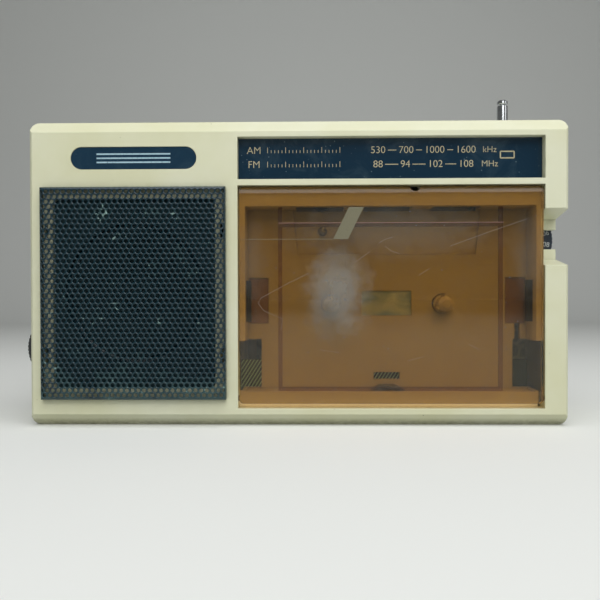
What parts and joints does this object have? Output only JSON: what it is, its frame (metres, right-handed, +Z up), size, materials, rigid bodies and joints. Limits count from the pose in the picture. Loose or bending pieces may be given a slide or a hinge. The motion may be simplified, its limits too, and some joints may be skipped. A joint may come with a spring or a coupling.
{
  "type": "portable radio cassette player",
  "caption": "Flat portable radio cassette player with a perforated speaker grille, smoked bottom-hinged tape door, printed dial strip, thumbwheels, piano keys and telescopic antenna.",
  "frame": {"origin": "middle of the base, half-way across the cabinet's width and its depth without the grille", "axes": "+X to the right of the front, +Y from front to back, +Z up"},
  "size_m": [0.2009, 0.053, 0.1298],
  "materials": {
    "cream_plastic": "fine-grained ivory plastic",
    "black_painted_steel": "satin black paint on perforated steel",
    "dark_acrylic": "polished, back-painted acrylic",
    "amber_acrylic": "smoked amber acrylic",
    "black_plastic": "moulded black plastic",
    "navy_plastic": "moulded dark blue plastic",
    "paper_cone": "pressed black paper",
    "plated_steel": "zinc-plated steel",
    "ferrite": "sintered ferrite",
    "spindle_plastic": "natural acetal",
    "rubber": "smooth rubber",
    "brass": "turned brass and enamelled copper",
    "chrome": "bright plating",
    "board_laminate": "phenolic circuit board",
    "grey_plastic": "moulded grey plastic"
  },
  "bodies": {
    "cabinet": {"front_cabinet": "cream_plastic", "rear_cabinet": "cream_plastic", "speaker_grille": "black_painted_steel", "name_plate": "dark_acrylic", "dial_panel": "dark_acrylic", "speaker_board": "black_plastic", "speaker_basket": "plated_steel", "speaker_magnet": "ferrite", "speaker_cone": "paper_cone", "cassette_well": "cream_plastic", "side_springs": "black_plastic", "leaf_spring": "plated_steel", "flywheel_bracket": "plated_steel", "mechanism_plate": "plated_steel", "motor": "plated_steel", "drive_belt": "rubber", "key_guide": "black_plastic", "circuit_board": "board_laminate", "tape_board": "board_laminate", "amplifier_chip": "black_plastic", "filter_cans": "chrome", "electrolytics": "navy_plastic", "tuning_capacitor": "spindle_plastic", "ferrite_rod": "ferrite", "ferrite_coil": "brass", "ferrite_holder": "black_plastic", "volume_board": "board_laminate", "volume_control": "grey_plastic", "function_switch": "plated_steel", "band_switch": "plated_steel", "earphone_jack": "black_plastic", "power_jack": "black_plastic", "battery_contacts": "chrome", "battery_springs": "plated_steel", "antenna_tube": "chrome", "antenna_clamp": "plated_steel", "cabinet_screws": "plated_steel", "mechanism_screws": "plated_steel", "board_screws": "plated_steel"},
    "cassette_door": {"cassette_door": "amber_acrylic"},
    "takeup_spindle": {"takeup_spindle": "spindle_plastic"},
    "supply_spindle": {"supply_spindle": "spindle_plastic"},
    "capstan_flywheel": {"capstan_flywheel": "plated_steel"},
    "idler_wheel": {"idler_wheel": "rubber"},
    "pinch_roller": {"pinch_roller": "rubber"},
    "motor_pulley": {"motor_pulley": "brass"},
    "key_rewind": {"key_rewind": "cream_plastic"},
    "key_play": {"key_play": "cream_plastic"},
    "key_forward": {"key_forward": "cream_plastic"},
    "key_stop": {"key_stop": "cream_plastic"},
    "tuning_wheel": {"tuning_wheel": "navy_plastic"},
    "volume_wheel": {"volume_wheel": "black_plastic"},
    "function_knob": {"function_knob": "black_plastic"},
    "band_knob": {"band_knob": "black_plastic"},
    "battery_cover": {"battery_cover": "cream_plastic"},
    "antenna_section_two": {"antenna_section_two": "chrome"},
    "antenna_section_three": {"antenna_section_three": "chrome"},
    "antenna_rod": {"antenna_rod": "chrome"},
    "head_plate": {"head_plate": "plated_steel", "tape_head": "chrome"}
  },
  "joints": [
    {"name": "door_hinge", "type": "hinge", "parent": "cabinet", "child": "cassette_door", "pos_m": [0.03385, -0.02325, 0.0102], "axis": [1, 0, 0], "range_deg": [0, 35]},
    {"name": "rewind_press", "type": "slide", "parent": "cabinet", "child": "key_rewind", "axis": [0, 0, -1], "range_m": [0, 0.006], "stiffness_N_per_m": 150, "springref_m": -0.003},
    {"name": "play_press", "type": "slide", "parent": "cabinet", "child": "key_play", "axis": [0, 0, -1], "range_m": [0, 0.006], "stiffness_N_per_m": 150, "springref_m": -0.003},
    {"name": "forward_press", "type": "slide", "parent": "cabinet", "child": "key_forward", "axis": [0, 0, -1], "range_m": [0, 0.006], "stiffness_N_per_m": 150, "springref_m": -0.003},
    {"name": "stop_press", "type": "slide", "parent": "cabinet", "child": "key_stop", "axis": [0, 0, -1], "range_m": [0, 0.006], "stiffness_N_per_m": 150, "springref_m": -0.003},
    {"name": "head_plate_slide", "type": "slide", "parent": "cabinet", "child": "head_plate", "axis": [0, 0, -1], "range_m": [0, 0.006]},
    {"name": "pinch_roller_spin", "type": "hinge", "parent": "head_plate", "child": "pinch_roller", "pos_m": [0.00935, -0.0143, 0.0841], "axis": [0, 1, 0], "continuous": true},
    {"name": "flywheel_spin", "type": "hinge", "parent": "cabinet", "child": "capstan_flywheel", "pos_m": [0.00935, 0.001, 0.0723], "axis": [0, 1, 0], "continuous": true},
    {"name": "idler_spin", "type": "hinge", "parent": "cabinet", "child": "idler_wheel", "pos_m": [0.01051, -0.0038, 0.06237], "axis": [0, 1, 0], "continuous": true},
    {"name": "takeup_spin", "type": "hinge", "parent": "cabinet", "child": "takeup_spindle", "pos_m": [0.0126, -0.0038, 0.0445], "axis": [0, 1, 0], "continuous": true},
    {"name": "supply_spin", "type": "hinge", "parent": "cabinet", "child": "supply_spindle", "pos_m": [0.0551, -0.0038, 0.0445], "axis": [0, 1, 0], "continuous": true},
    {"name": "motor_spin", "type": "hinge", "parent": "cabinet", "child": "motor_pulley", "pos_m": [0.06605, 0.001, 0.095], "axis": [0, 1, 0], "continuous": true},
    {"name": "tuning_turn", "type": "hinge", "parent": "cabinet", "child": "tuning_wheel", "pos_m": [0.0834, -0.0061, 0.0688], "axis": [0, 1, 0], "range_deg": [-90, 90]},
    {"name": "volume_turn", "type": "hinge", "parent": "cabinet", "child": "volume_wheel", "pos_m": [-0.0895, -0.01475, 0.0281], "axis": [0, 1, 0], "range_deg": [0, 270]},
    {"name": "function_slide", "type": "slide", "parent": "cabinet", "child": "function_knob", "axis": [1, 0, 0], "range_m": [0, 0.008]},
    {"name": "band_slide", "type": "slide", "parent": "cabinet", "child": "band_knob", "axis": [1, 0, 0], "range_m": [0, 0.005]},
    {"name": "battery_cover_pull", "type": "slide", "parent": "cabinet", "child": "battery_cover", "axis": [0, 1, 0], "range_m": [0, 0.012]},
    {"name": "antenna_slide_two", "type": "slide", "parent": "cabinet", "child": "antenna_section_two", "axis": [0, 0, 1], "range_m": [0, 0.1]},
    {"name": "antenna_slide_three", "type": "slide", "parent": "antenna_section_two", "child": "antenna_section_three", "axis": [0, 0, 1], "range_m": [0, 0.1]},
    {"name": "antenna_slide_rod", "type": "slide", "parent": "antenna_section_three", "child": "antenna_rod", "axis": [0, 0, 1], "range_m": [0, 0.1]}
  ],
  "couplings": [
    {"joint": "head_plate_slide", "follows": "play_press", "ratio": 1},
    {"joint": "motor_spin", "follows": "flywheel_spin", "ratio": 4.8571},
    {"joint": "idler_spin", "follows": "flywheel_spin", "ratio": -0.7024},
    {"joint": "takeup_spin", "follows": "flywheel_spin", "ratio": 0.3333}
  ]
}
